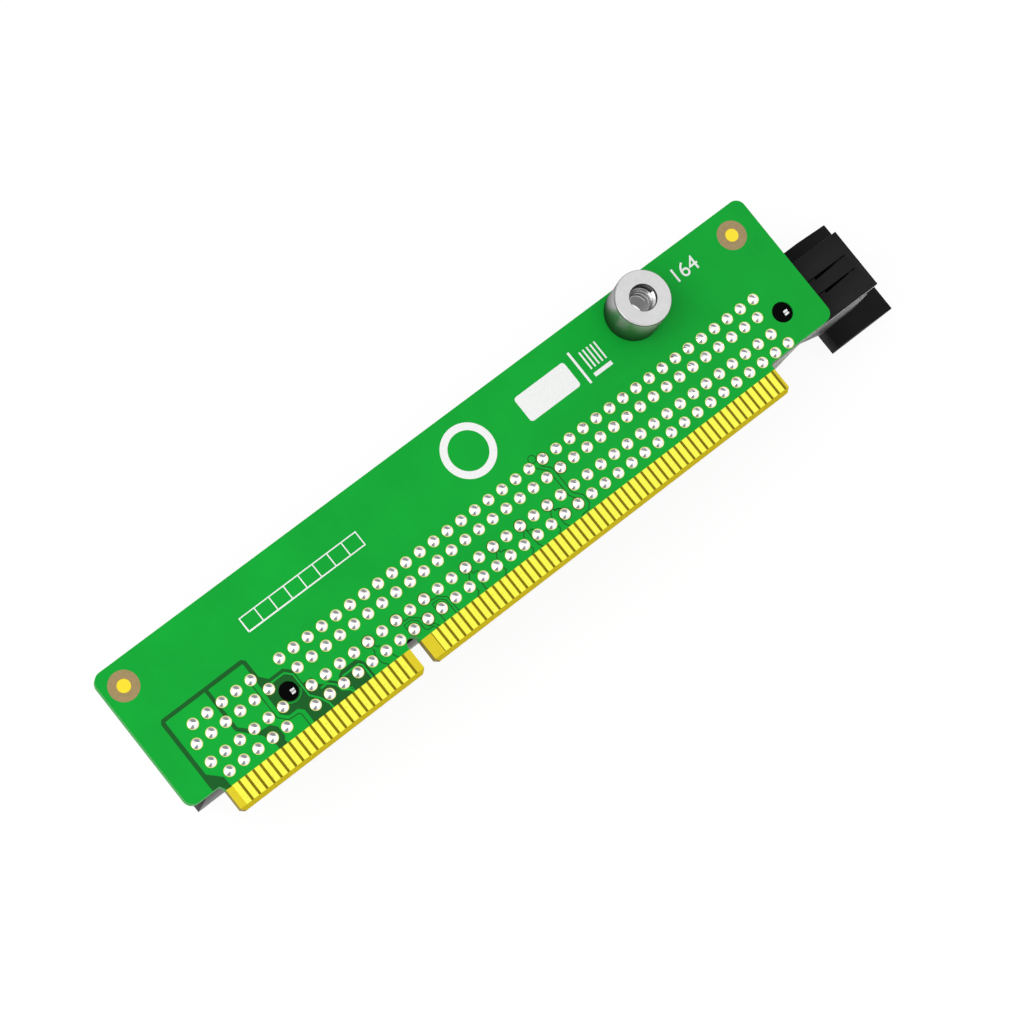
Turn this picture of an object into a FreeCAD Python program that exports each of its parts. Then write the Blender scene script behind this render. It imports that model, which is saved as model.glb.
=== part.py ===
"""Riser card for a server or a small desktop computer.

A narrow circuit board plugs into the machine by the gold fingers on its tongue and carries
a straight 164-contact card slot on its other face.  A latch lever at the end of the slot
holds the plug-in card, and a threaded standoff takes a screw on the solder side.

The board lies level with its solder side up and the slot under it.  Lengths are in
millimetres.  Along x everything is measured from contact 1, across y from the centre line
of the slot, and in z from the face of the board that carries the slot.
"""
import FreeCAD, Part
import math
import os

V = FreeCAD.Vector

# ---- contact field: two groups either side of the card key ----
PITCH = 1.0                 # contacts and edge fingers
SHORT_PINS = 11             # contacts on each side before the key
LONG_PINS = 71              # contacts on each side after the key
KEY_PITCHES = 3             # pitches across the key
INNER_ROW = 1.25            # centre line to the inner row of tails
OUTER_ROW = 3.25            # centre line to the outer row of tails

# ---- board ----
BOARD_THICK = 1.57
BOARD_START = 4.85          # board end to contact 1
BOARD_FINISH = 6.6          # last contact to the latch end of the board
BOARD_BACK = 13.9           # centre line to the long back edge
BOARD_MARGIN = 0.7          # outer row to the shoulders beside the tongue
BOARD_CORNER = 1.2          # rounding of the outer corners

# ---- tongue with its edge fingers ----
TONGUE_LENGTH = 3.8         # shoulder to tip
TONGUE_OFFSET = 4.25        # board end to the start of the tongue
TONGUE_CHAMFER = 0.45       # clipped corners of the tip and of the notch
TONGUE_RELIEF = 0.5         # rounding where a shoulder meets the tongue
SHORT_FINGERS = 24
LONG_FINGERS = 51
FINGER_EDGE = 1.2           # tongue end to the first finger centre
FINGER_TO_END = 1.0         # last finger centre to the far end of the tongue
FINGER_TO_NOTCH = 1.6       # finger centre to the notch, on the short side
NOTCH_TO_FINGER = 1.85      # notch to the next finger centre, on the long side
NOTCH_WIDTH = 1.6
NOTCH_DEPTH = 4.1           # tongue tip to the round end of the notch
FINGER_WIDTH = 0.68
FINGER_LENGTH = 2.6
FINGER_SETBACK = 0.45       # tongue tip to the finger ends
PLATING = 0.05              # thickness of fingers and aiming marks
BEVEL_HEIGHT = 0.45         # ground lead-in along the tip
BEVEL_DEPTH = 0.3

# ---- solder joints ----
JOINT_BASE = 1.3            # diameter on the board
JOINT_HEIGHT = 0.6
JOINT_SIDES = 8

# ---- aiming marks for assembly machines ----
MARK_SIZE = 1.6
MARK_SIDES = 16
MARK_A = (2.45, 2.8)        # from the board end and the back edge
MARK_B = (3.65, 3.2)

# ---- threaded standoff, swaged into the board ----
STANDOFF_WIDTH = 6.7
STANDOFF_HEIGHT = 6.2
STANDOFF_SHANK = 4.2
STANDOFF_BORE = 2.5         # tapping size of an M3 thread
STANDOFF_MOUTH = 3.2
STANDOFF_MOUTH_DEPTH = 0.35
STANDOFF_INSET = (19.3, 3.5)   # from the latch end and the back edge

# ---- slot housing ----
SLOT_HEIGHT = 11.25
SLOT_START = 2.5            # plain end of the housing to contact 1
SLOT_FINISH = 2.15          # last contact to the latch end of the housing
SLOT_LEAN = 0.5             # the latch end leans back this far at the mouth
SLOT_SKIRT = 0.35           # side walls stand this far clear of the board
CARD_GAP = 1.9              # width of the card slot
CARD_MARGIN = 1.15          # card slot beyond the end contacts
CARD_FLOOR = 3.0            # board face to the bottom of the card slot
KEY_RIB = 1.7
MOUTH_CHAMFER = 0.6
CHAMBER_WALL = 0.6          # outer wall beside the contacts
CHAMBER_ROOF = 1.3          # lip over the contact chambers
PEG_A = 2.3                 # locating peg in the key gap
PEG_B = 2.55                # locating peg at the latch end
PEG_A_AT = 1.6              # past the last contact of the short group
PEG_A_ASIDE = 0.25          # off the slot's centre line, toward the tongue
PEG_B_AT = 1.85             # past the last contact of all
PEG_RECESS = 0.25           # peg end below the solder face

# ---- spring contacts ----
CONTACT_WIDTH = 0.5
CONTACT_THICK = 0.2
CONTACT_TOUCH = 0.62        # centre line to the spring's touching face
TOUCH_HEIGHT = 8.9          # board face to the touching point
WALL_HEIGHT = 4.6           # board face to the bend at the chamber wall
FOOT_HEIGHT = 1.1           # straight foot of an inner-row contact

# ---- latch cradle, moulded with the housing ----
CRADLE_LENGTH = 12.15       # housing end to the cradle's far edge
CRADLE_THICK = 2.0
CRADLE_RISE = 0.6           # the underside climbs this far from the board
CRADLE_FLAT = 4.6           # housing end to the start of that climb
SLIT_START = 1.7            # board end to the two slits that free the bar between the ears
SLIT_LENGTH = 5.0
SLIT_WIDTH = 0.42           # at the board end
SLIT_TIP = 0.1              # width left at the far end
SLIT_NECK = 0.1             # width of the fine cut that runs back to the board end
SLIT_EDGES = (1.15, -0.8)   # straight edges of the slits, from the centre line
PIVOT_INSET = 2.5           # cradle's far edge to the pivot
PIVOT_HEIGHT = 4.4          # board face to the pivot
EAR_INSET = 1.2             # centre line to an ear's inner face
EAR_THICK = 1.2
EAR_RADIUS = 1.25

# ---- latch lever ----
LEVER_WIDTH = 7.9
LEVER_GAP = 0.2             # running clearance round the lever
LEVER_BACK = 9.2            # pivot to the foot of the flank beside the slot
FLANK_TOP = 12.4            # board face to where that flank meets the tab
WEB_WIDTH = 1.9             # wall left between the two pockets
SHAFT_SIZE = 1.3
SHAFT_CLEARANCE = 0.06
TAB_WIDTH = 13.1
TAB_BACK = 2.1              # pivot to the tab's inner edge
TAB_REACH = 7.5             # pivot to the tab's outer edge
TAB_THICK = 2.8
TAB_EDGE = 0.5              # thickness left at the outer edge
TAB_TOP = 13.85             # board face to the tab's flat face
HOOK_WIDTH = 1.6
HOOK_REACH = 3.6            # inner edge of the tab to the hook's nose
HOOK_LEVEL = 9.4            # board face to the face that holds the card down
HOOK_NOSE = 0.9             # height of the nose

# ---- places worked out from the sizes above ----
LAST_PIN = (SHORT_PINS + LONG_PINS - 2 + KEY_PITCHES) * PITCH
BOARD_LEFT = -BOARD_START
BOARD_RIGHT = LAST_PIN + BOARD_FINISH
SOLDER_FACE = BOARD_THICK
BOARD_FRONT = -OUTER_ROW - BOARD_MARGIN
TONGUE_TIP = BOARD_FRONT - TONGUE_LENGTH
SHORT_FINGER_1 = BOARD_LEFT + TONGUE_OFFSET + FINGER_EDGE
NOTCH_LEFT = SHORT_FINGER_1 + (SHORT_FINGERS - 1) * PITCH + FINGER_TO_NOTCH
LONG_FINGER_1 = NOTCH_LEFT + NOTCH_WIDTH + NOTCH_TO_FINGER
TONGUE_RIGHT = LONG_FINGER_1 + (LONG_FINGERS - 1) * PITCH + FINGER_TO_END
CHAMBER_SIDE = OUTER_ROW + CONTACT_THICK / 2
SLOT_SIDE = CHAMBER_SIDE + CHAMBER_WALL
SLOT_LEFT = -SLOT_START
SLOT_RIGHT = LAST_PIN + SLOT_FINISH
CRADLE_RIGHT = SLOT_RIGHT + CRADLE_LENGTH
PIVOT = (CRADLE_RIGHT - PIVOT_INSET, -PIVOT_HEIGHT)
KEY_CENTRE = (SHORT_PINS - 1 + KEY_PITCHES / 2) * PITCH
PEGS = (((SHORT_PINS - 1) * PITCH + PEG_A_AT, -PEG_A_ASIDE, PEG_A), (LAST_PIN + PEG_B_AT, 0, PEG_B))
STANDOFF_AT = V(BOARD_RIGHT - STANDOFF_INSET[0], BOARD_BACK - STANDOFF_INSET[1], SOLDER_FACE)


def rounded(corners):
    """Closed wire in the XY plane through corners (x, y, radius), rounded by tangent arcs."""
    points = [V(x, y, 0) for x, y, _ in corners]
    edges, stops = [], []
    for i, here in enumerate(points):
        radius = corners[i][2]
        if not radius:
            stops.append((here, here))
            continue
        back = (points[i - 1] - here).normalize()
        ahead = (points[(i + 1) % len(points)] - here).normalize()
        half = back.getAngle(ahead) / 2
        reach = radius / math.tan(half)
        inward = (back + ahead).normalize()
        start, end = here + back * reach, here + ahead * reach
        middle = here + inward * (radius / math.sin(half) - radius)
        edges.append(Part.Arc(start, middle, end).toShape())
        stops.append((start, end))
    for i in range(len(points)):
        start, end = stops[i - 1][1], stops[i][0]
        if start.distanceToPoint(end) > 1e-6:
            edges.append(Part.LineSegment(start, end).toShape())
    return Part.Wire(Part.__sortEdges__(edges))


def flat_plate(corners, z_low, z_high):
    """Plate of a rounded outline in XY, from z_low to z_high."""
    plate = Part.Face(rounded(corners)).extrude(V(0, 0, z_high - z_low))
    plate.translate(V(0, 0, z_low))
    return plate


def side_plate(corners, y_low, y_high):
    """Plate of a rounded outline in x and z, from y_low to y_high."""
    plate = Part.Face(rounded(corners)).extrude(V(0, 0, y_high - y_low))
    plate.rotate(V(0, 0, 0), V(1, 0, 0), 90)
    plate.translate(V(0, y_high, 0))
    return plate


def block(x_span, y_span, z_span):
    low = V(x_span[0], y_span[0], z_span[0])
    return Part.makeBox(x_span[1] - x_span[0], y_span[1] - y_span[0], z_span[1] - z_span[0], low)


def pin_x(number):
    """Place of a contact along the slot, counting from 1."""
    steps = number - 1 if number <= SHORT_PINS else number - 2 + KEY_PITCHES
    return steps * PITCH


def pins(group, row):
    """Contact numbers of one group: odd ones stand in the inner rows, even ones in the outer."""
    first, count = (1, SHORT_PINS) if group == "short" else (SHORT_PINS + 1, LONG_PINS)
    return [n for n in range(first, first + count) if (n % 2 == 1) == (row == "inner")]


# ---- board and what is plated or soldered on it ----
def circuit_board():
    tongue_left = BOARD_LEFT + TONGUE_OFFSET
    notch_right = NOTCH_LEFT + NOTCH_WIDTH
    notch_top = TONGUE_TIP + NOTCH_DEPTH
    outline = [
        (BOARD_LEFT, BOARD_BACK, BOARD_CORNER),
        (BOARD_LEFT, BOARD_FRONT, BOARD_CORNER),
        (tongue_left, BOARD_FRONT, TONGUE_RELIEF),
        (tongue_left, TONGUE_TIP + TONGUE_CHAMFER, 0),
        (tongue_left + TONGUE_CHAMFER, TONGUE_TIP, 0),
        (NOTCH_LEFT - TONGUE_CHAMFER, TONGUE_TIP, 0),
        (NOTCH_LEFT, TONGUE_TIP + TONGUE_CHAMFER, 0),
        (NOTCH_LEFT, notch_top, NOTCH_WIDTH * 0.499),
        (notch_right, notch_top, NOTCH_WIDTH * 0.499),
        (notch_right, TONGUE_TIP + TONGUE_CHAMFER, 0),
        (notch_right + TONGUE_CHAMFER, TONGUE_TIP, 0),
        (TONGUE_RIGHT - TONGUE_CHAMFER, TONGUE_TIP, 0),
        (TONGUE_RIGHT, TONGUE_TIP + TONGUE_CHAMFER, 0),
        (TONGUE_RIGHT, BOARD_FRONT, TONGUE_RELIEF),
        (BOARD_RIGHT, BOARD_FRONT, BOARD_CORNER),
        (BOARD_RIGHT, BOARD_BACK, BOARD_CORNER),
    ]
    board = flat_plate(outline, 0, BOARD_THICK)
    for z, side in ((0, 1), (BOARD_THICK, -1)):
        wedge = Part.makePolygon([
            V(0, TONGUE_TIP, z), V(0, TONGUE_TIP + BEVEL_HEIGHT, z),
            V(0, TONGUE_TIP, z + side * BEVEL_DEPTH), V(0, TONGUE_TIP, z)])
        wedge = Part.Face(wedge).extrude(V(TONGUE_RIGHT - tongue_left, 0, 0))
        wedge.translate(V(tongue_left, 0, 0))
        board = board.cut(wedge)
    for x, y, size in PEGS:
        board = board.cut(Part.makeCylinder(size / 2, BOARD_THICK, V(x, y, 0)))
    shank = V(STANDOFF_AT.x, STANDOFF_AT.y, 0)
    return board.cut(Part.makeCylinder(STANDOFF_SHANK / 2, BOARD_THICK, shank))


def fingers(face, group):
    """Gold fingers of one group on one face of the tongue."""
    first, count = (SHORT_FINGER_1, SHORT_FINGERS) if group == "short" else (LONG_FINGER_1, LONG_FINGERS)
    z_span = (SOLDER_FACE, SOLDER_FACE + PLATING) if face == "back" else (-PLATING, 0)
    low = TONGUE_TIP + FINGER_SETBACK
    centres = [first + i * PITCH for i in range(count)]
    return [block((x - FINGER_WIDTH / 2, x + FINGER_WIDTH / 2), (low, low + FINGER_LENGTH), z_span)
            for x in centres]


def ring(x, y, z, radius, sides):
    """Corners of a regular polygon, closed."""
    turns = [2 * math.pi * (i + 0.5) / sides for i in range(sides + 1)]
    return [V(x + radius * math.cos(a), y + radius * math.sin(a), z) for a in turns]


def aiming_marks():
    places = ((BOARD_LEFT + MARK_A[0], BOARD_BACK - MARK_A[1]),
              (BOARD_RIGHT - MARK_B[0], BOARD_BACK - MARK_B[1]))
    outlines = [Part.makePolygon(ring(x, y, SOLDER_FACE, MARK_SIZE / 2, MARK_SIDES)) for x, y in places]
    return [Part.Face(outline).extrude(V(0, 0, PLATING)) for outline in outlines]


def solder_joint(x, y):
    """Faceted cone of solder round the end of one contact tail."""
    foot = ring(x, y, SOLDER_FACE, JOINT_BASE / 2, JOINT_SIDES)
    tip = V(x, y, SOLDER_FACE + JOINT_HEIGHT)
    faces = [Part.Face(Part.makePolygon([a, b, tip, a])) for a, b in zip(foot, foot[1:])]
    faces.append(Part.Face(Part.makePolygon(foot)))
    return Part.Solid(Part.Shell(faces))


def solder_row(side, row):
    y = side * (INNER_ROW if row == "inner" else OUTER_ROW)
    return [solder_joint(pin_x(number), y) for number in pins("short", row) + pins("long", row)]


def standoff():
    """Turned in one piece: body, mouth chamfer, tapped bore and the shank swaged in the board."""
    bore, body = STANDOFF_BORE / 2, STANDOFF_WIDTH / 2
    section = [(bore, -BOARD_THICK), (STANDOFF_SHANK / 2, -BOARD_THICK), (STANDOFF_SHANK / 2, 0),
               (body, 0), (body, STANDOFF_HEIGHT), (STANDOFF_MOUTH / 2, STANDOFF_HEIGHT),
               (bore, STANDOFF_HEIGHT - STANDOFF_MOUTH_DEPTH)]
    points = [V(r, 0, z) for r, z in section]
    turned = Part.Face(Part.makePolygon(points + points[:1])).revolve(V(0, 0, 0), V(0, 0, 1), 360)
    turned.translate(STANDOFF_AT)
    return turned


# ---- slot ----
def contact_outline(row):
    """Centre line of a spring contact in y and z, from its foot on the board to its tip."""
    bend = (OUTER_ROW, -WALL_HEIGHT)
    touch = (CONTACT_TOUCH + CONTACT_THICK / 2, -TOUCH_HEIGHT)
    if row == "outer":
        return [(OUTER_ROW, 0), bend, touch]
    return [(INNER_ROW, 0), (INNER_ROW, -FOOT_HEIGHT), bend, touch]


def contacts(side, group, row):
    """Spring contacts of one group on one side of the slot, one bent strip each."""
    half = CONTACT_THICK / 2
    line = contact_outline(row)
    strip = [(y - half, z) for y, z in line] + [(y + half, z) for y, z in reversed(line)]
    solids = []
    for number in pins(group, row):
        x = pin_x(number) - CONTACT_WIDTH / 2
        points = [V(x, side * y, z) for y, z in strip]
        face = Part.Face(Part.makePolygon(points + points[:1]))
        solids.append(face.extrude(V(CONTACT_WIDTH, 0, 0)))
    return solids


def card_slots():
    """x spans of the two stretches of the card slot, either side of the key rib."""
    return ((-CARD_MARGIN, KEY_CENTRE - KEY_RIB / 2), (KEY_CENTRE + KEY_RIB / 2, LAST_PIN + CARD_MARGIN))


def slot_cavity(x_span):
    """Card slot with its lead-in, and the contact chambers beside it."""
    gap, wall = CARD_GAP / 2, CHAMBER_SIDE
    roof = -SLOT_HEIGHT + CHAMBER_ROOF
    half = [(gap, -CARD_FLOOR), (gap, 0), (wall, 0), (wall, roof), (gap, roof),
            (gap, -SLOT_HEIGHT + MOUTH_CHAMFER), (gap + MOUTH_CHAMFER, -SLOT_HEIGHT)]
    points = [V(x_span[0], y, z) for y, z in half] + [V(x_span[0], -y, z) for y, z in reversed(half)]
    return Part.Face(Part.makePolygon(points + points[:1])).extrude(V(x_span[1] - x_span[0], 0, 0))


def slot_housing():
    """One moulding: contact block, locating pegs and latch cradle with its two ears."""
    profile = [
        (SLOT_LEFT, 0, 0),
        (SLOT_LEFT, -SLOT_HEIGHT, 0),
        (SLOT_RIGHT - SLOT_LEAN, -SLOT_HEIGHT, 0),
        (SLOT_RIGHT, -CRADLE_THICK, 0),
        (CRADLE_RIGHT, -CRADLE_THICK, 0),
        (CRADLE_RIGHT, -CRADLE_RISE, 0),
        (SLOT_RIGHT + CRADLE_FLAT, 0, 0),
    ]
    housing = side_plate(profile, -SLOT_SIDE, SLOT_SIDE)
    for x_span in card_slots():
        housing = housing.cut(slot_cavity(x_span))
    for sign in (-1, 1):
        y_span = sorted((sign * SLOT_SIDE, sign * CHAMBER_SIDE))
        housing = housing.cut(block((SLOT_LEFT, SLOT_RIGHT), y_span, (-SLOT_SKIRT, 0)))
    for y in SLIT_EDGES:
        housing = housing.cut(slit(y))
    for x, y, size in PEGS:
        housing = housing.fuse(Part.makeCylinder(size / 2, BOARD_THICK - PEG_RECESS, V(x, y, 0)))
    for y_low in (EAR_INSET, -EAR_INSET - EAR_THICK):
        housing = housing.fuse(ear(y_low))
    return housing.removeSplitter()


def slit(y):
    """Tapered opening through the cradle, with a fine cut that runs back to the board."""
    wide, tip = BOARD_RIGHT + SLIT_START, BOARD_RIGHT + SLIT_START + SLIT_LENGTH
    corners = [(BOARD_RIGHT, y), (BOARD_RIGHT, y - SLIT_NECK), (wide, y - SLIT_NECK),
               (wide, y - SLIT_WIDTH), (tip, y - SLIT_TIP), (tip, y)]
    return flat_plate([(x, edge, 0) for x, edge in corners], -CRADLE_THICK, 0)


def ear(y_low):
    """Upright of the cradle that carries one end of the lever's shaft."""
    x, z = PIVOT
    outline = [
        (x - EAR_RADIUS, -CRADLE_THICK + CRADLE_THICK / 2, 0),
        (x + EAR_RADIUS, -CRADLE_THICK + CRADLE_THICK / 2, 0),
        (x + EAR_RADIUS, z - EAR_RADIUS, EAR_RADIUS * 0.999),
        (x - EAR_RADIUS, z - EAR_RADIUS, EAR_RADIUS * 0.999),
    ]
    plate = side_plate(outline, y_low, y_low + EAR_THICK)
    hole = Part.makeCylinder(SHAFT_SIZE / 2 + SHAFT_CLEARANCE, EAR_THICK, V(x, y_low, z), V(0, 1, 0))
    return plate.cut(hole)


# ---- latch ----
def latch_lever():
    """One moulding: body with two pockets for the ears, shaft, hook and finger tab."""
    x, z = PIVOT
    under = -CRADLE_THICK - LEVER_GAP
    heel = x + under - z
    tab_under = TAB_THICK - TAB_TOP
    tab_left, tab_right = x - TAB_BACK, x + TAB_REACH
    lever = side_plate([
        (x - LEVER_BACK, under, 0),
        (heel, under, (under - z) * 0.999),
        (heel, -TAB_TOP, 0),
        (tab_left, -TAB_TOP, 0),
        (tab_left, -FLANK_TOP, 0),
    ], -LEVER_WIDTH / 2, LEVER_WIDTH / 2)
    tab = side_plate([
        (tab_left, tab_under, 0),
        (tab_left, -TAB_TOP, 0),
        (tab_right, -TAB_TOP, 0),
        (tab_right, TAB_EDGE - TAB_TOP, 0),
        (heel, tab_under, 0),
    ], -TAB_WIDTH / 2, TAB_WIDTH / 2)
    hook = side_plate([
        (x, -HOOK_LEVEL, 0),
        (tab_left - HOOK_REACH, -HOOK_LEVEL, 0),
        (tab_left - HOOK_REACH, -HOOK_LEVEL - HOOK_NOSE, 0),
        (tab_left, TAB_EDGE - TAB_TOP, 0),
        (x, TAB_EDGE - TAB_TOP, 0),
    ], -HOOK_WIDTH / 2, HOOK_WIDTH / 2)
    lever = lever.fuse([tab, hook])
    pocket_side = EAR_INSET + EAR_THICK + LEVER_GAP
    for y_span in ((WEB_WIDTH / 2, pocket_side), (-pocket_side, -WEB_WIDTH / 2)):
        lever = lever.cut(block((x - EAR_RADIUS - LEVER_GAP, heel), y_span,
                                (z - EAR_RADIUS - LEVER_GAP, under)))
    shaft = Part.makeCylinder(SHAFT_SIZE / 2, 2 * pocket_side, V(x, -pocket_side, z), V(0, 1, 0))
    return lever.fuse(shaft).removeSplitter()


# ---- nodes ----
def build():
    """Every node of the card as a list of solids."""
    nodes = {
        "circuit_board": [circuit_board()],
        "aiming_marks": aiming_marks(),
        "standoff": [standoff()],
        "slot_housing": [slot_housing()],
        "latch_lever": [latch_lever()],
    }
    for group in ("short", "long"):
        for face in ("back", "front"):
            nodes["fingers_{}_{}".format(face, group)] = fingers(face, group)
    for name, side in (("a", -1), ("b", 1)):
        for row in ("inner", "outer"):
            nodes["solder_row_{}_{}".format(name, row)] = solder_row(side, row)
            for group in ("short", "long"):
                nodes["contacts_{}_{}_{}".format(name, group, row)] = contacts(side, group, row)
    return nodes


def main():
    """Centre the card over the origin, stand it on z = 0 and write one file for each node."""
    nodes = build()
    everything = Part.makeCompound([solid for solids in nodes.values() for solid in solids])
    box = everything.optimalBoundingBox(False, False)
    shift = V(-box.Center.x, -box.Center.y, -box.ZMin)
    os.makedirs("parts", exist_ok=True)
    for name, solids in nodes.items():
        shape = solids[0] if len(solids) == 1 else Part.makeCompound(solids)
        shape.translate(shift)
        shape.exportStep("parts/{}.step".format(name))
    print("row origin in slot coordinates:", [round(v, 3) for v in (-shift.x, -shift.y, -shift.z)])
    print("size:", round(box.XLength, 2), round(box.YLength, 2), round(box.ZLength, 2))


main()
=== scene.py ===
"""Looks of the riser card: board, plating, solder, card slot, latch and standoff."""
import math
import bpy
from mathutils import Matrix, Vector


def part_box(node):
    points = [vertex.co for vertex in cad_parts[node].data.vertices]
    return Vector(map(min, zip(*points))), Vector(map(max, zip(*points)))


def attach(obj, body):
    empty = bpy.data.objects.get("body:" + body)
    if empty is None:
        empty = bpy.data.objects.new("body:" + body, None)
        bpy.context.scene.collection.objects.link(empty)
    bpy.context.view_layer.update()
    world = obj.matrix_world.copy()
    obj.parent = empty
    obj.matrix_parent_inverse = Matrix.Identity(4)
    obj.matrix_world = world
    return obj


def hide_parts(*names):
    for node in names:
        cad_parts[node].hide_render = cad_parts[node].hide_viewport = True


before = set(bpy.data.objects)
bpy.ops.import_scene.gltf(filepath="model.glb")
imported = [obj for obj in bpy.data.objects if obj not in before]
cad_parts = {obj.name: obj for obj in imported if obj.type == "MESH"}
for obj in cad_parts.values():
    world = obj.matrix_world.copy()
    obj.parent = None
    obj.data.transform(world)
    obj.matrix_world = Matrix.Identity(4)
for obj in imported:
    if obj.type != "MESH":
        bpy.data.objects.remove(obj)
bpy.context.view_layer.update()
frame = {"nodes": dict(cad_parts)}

MM = 0.001

# ---- places, read from the frame ----
board_low, board_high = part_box("circuit_board")
housing_low, housing_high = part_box("slot_housing")
standoff_low, standoff_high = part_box("standoff")
SLOT_FACE = board_low.z                # board face that carries the slot
SOLDER_FACE = board_high.z
SLOT_LINE = (housing_low.y + housing_high.y) / 2
FLANK = (housing_high.y - housing_low.y) / 2           # from the slot's centre line to its outer side
CONTACT_WIDTH = 0.5 * MM
CONTACT_1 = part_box("contacts_a_short_inner")[0].x + CONTACT_WIDTH / 2
FINGER_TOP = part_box("fingers_back_long")[1].y
TONGUE_TIP = board_low.y
STANDOFF_LINE = Vector(((standoff_low.x + standoff_high.x) / 2, (standoff_low.y + standoff_high.y) / 2, 0))

# ---- contact field, as the slot has it, in millimetres from contact 1 and the slot's centre line ----
SHORT_PINS = 11
LONG_PINS = 71
KEY_PITCHES = 3
INNER_ROW = 1.25
OUTER_ROW = 3.25

# ---- pegs in their holes, in millimetres; the key peg stands a little off the slot's centre line ----
KEY_PEG = (11.6, -0.25)
KEY_PEG_RADIUS = 1.15
END_PEG = (84.85, 0.0)
END_PEG_RADIUS = 1.275

# ---- vertices nearer than these, in metres, are one ----
SAME_SPOT = 1e-7
SAME_CORNER = 1e-6


def place(x, y, z=0.0):
    """A spot in millimetres from contact 1, from the slot's centre line, and above the solder face."""
    return Vector((CONTACT_1 + x * MM, SLOT_LINE + y * MM, SOLDER_FACE + z * MM))


def pin_x(number):
    """Millimetres from contact 1 to a contact, counting from 1."""
    return number - 1 if number <= SHORT_PINS else number - 2 + KEY_PITCHES


def row_pins(row):
    """Contact numbers in one row of tails: odd ones inner, even ones outer."""
    return [n for n in range(1, SHORT_PINS + LONG_PINS + 1) if (n % 2 == 1) == (row == "inner")]


# ---- bench habits ----
def nothing_selected():
    """Out of edit mode with every object deselected."""
    if bpy.context.mode != "OBJECT":
        bpy.ops.object.mode_set(mode="OBJECT")
    bpy.ops.object.select_all(action="DESELECT")


def pick(*objects):
    """Selects these objects alone and makes the first one active."""
    nothing_selected()
    for each in objects:
        each.select_set(True)
    bpy.context.view_layer.objects.active = objects[0]


def start_editing(piece, kind="VERT"):
    """Into edit mode on one piece, all of it selected."""
    pick(piece)
    bpy.ops.object.mode_set(mode="EDIT")
    bpy.ops.mesh.select_mode(type=kind)
    bpy.ops.mesh.select_all(action="SELECT")


def set_down(piece, name):
    """Out of edit mode, with the piece's place in its mesh."""
    if bpy.context.mode != "OBJECT":
        bpy.ops.object.mode_set(mode="OBJECT")
    pick(piece)
    bpy.ops.object.transform_apply(location=True, rotation=True, scale=True)
    piece.name = name
    piece.data.name = name
    return piece


def faces_out(piece):
    """Closes the seams and turns every face outwards."""
    start_editing(piece)
    bpy.ops.mesh.remove_doubles(threshold=SAME_SPOT)
    bpy.ops.mesh.normals_make_consistent(inside=False)
    bpy.ops.object.mode_set(mode="OBJECT")


def smooth(piece, degrees):
    """Smooth shading across edges flatter than an angle."""
    pick(piece)
    bpy.ops.object.shade_smooth_by_angle(angle=math.radians(degrees), keep_sharp_edges=False)


def finish_with(piece, kind, **settings):
    """Puts one modifier on a piece and applies it."""
    pick(piece)
    made = piece.modifiers.new(kind.title(), kind)
    for key, value in settings.items():
        setattr(made, key, value)
    bpy.ops.object.modifier_apply(modifier=made.name)


def join(pieces, name):
    """Several objects made one."""
    pick(*pieces)
    if len(pieces) > 1:
        bpy.ops.object.join()
    joined = bpy.context.view_layer.objects.active
    joined.name = name
    joined.data.name = name
    return joined


def set_out(master, spots, name):
    """Copies of one modelled piece, each with its own mesh, joined in one object."""
    copies = []
    for spot in spots:
        copy = bpy.data.objects.new(name, master.data.copy())
        bpy.context.scene.collection.objects.link(copy)
        copy.data.transform(Matrix.Translation(spot))
        copies.append(copy)
    bpy.data.objects.remove(master)
    return join(copies, name)


def turned(name, rings, sides, spot, hollow=False):
    """A round piece shaped ring by ring: (radius, height) in millimetres, from its foot upwards."""
    radius, height = rings[0]
    bpy.ops.mesh.primitive_circle_add(vertices=sides, radius=radius * MM, location=(0, 0, height * MM))
    piece = bpy.context.object
    bpy.ops.object.transform_apply(location=True)
    start_editing(piece)
    if not hollow:
        bpy.ops.mesh.edge_face_add()
        bpy.ops.mesh.select_all(action="SELECT")
    for wider, higher in rings[1:]:
        bpy.ops.mesh.extrude_edges_move() if hollow else bpy.ops.mesh.extrude_region_move()
        grow = wider / radius
        bpy.ops.transform.resize(value=(grow, grow, 1), center_override=(0, 0, height * MM))
        bpy.ops.transform.translate(value=(0, 0, (higher - height) * MM))
        radius, height = wider, higher
    bpy.ops.object.mode_set(mode="OBJECT")
    if hollow:
        bridge_ends(piece)
    faces_out(piece)
    piece.location = spot
    return set_down(piece, name)


def bridge_ends(piece):
    """Closes a tube by bridging its first ring with its last."""
    start_editing(piece, "EDGE")
    bpy.ops.mesh.select_all(action="DESELECT")
    bpy.ops.mesh.select_non_manifold()
    bpy.ops.mesh.bridge_edge_loops()
    bpy.ops.object.mode_set(mode="OBJECT")


def washer(name, outer, inner, thick, sides, spot):
    """A flat ring: radii in millimetres, thickness in metres."""
    outline = [(outer, 0), (outer, thick / MM), (inner, thick / MM), (inner, 0)]
    return turned(name, outline, sides, spot, hollow=True)


def walk(route, name):
    """Edges drawn one after another through places in millimetres."""
    bpy.ops.mesh.primitive_plane_add(size=MM, location=(0, 0, 0))
    piece = bpy.context.object
    start_editing(piece)
    bpy.ops.mesh.merge(type="CENTER")
    spots = [place(*spot) for spot in route]
    bpy.ops.transform.translate(value=spots[0])
    for here, there in zip(spots, spots[1:]):
        bpy.ops.mesh.extrude_region_move(TRANSFORM_OT_translate={"value": there - here})
    bpy.ops.object.mode_set(mode="OBJECT")
    piece.name = name
    return piece


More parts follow.
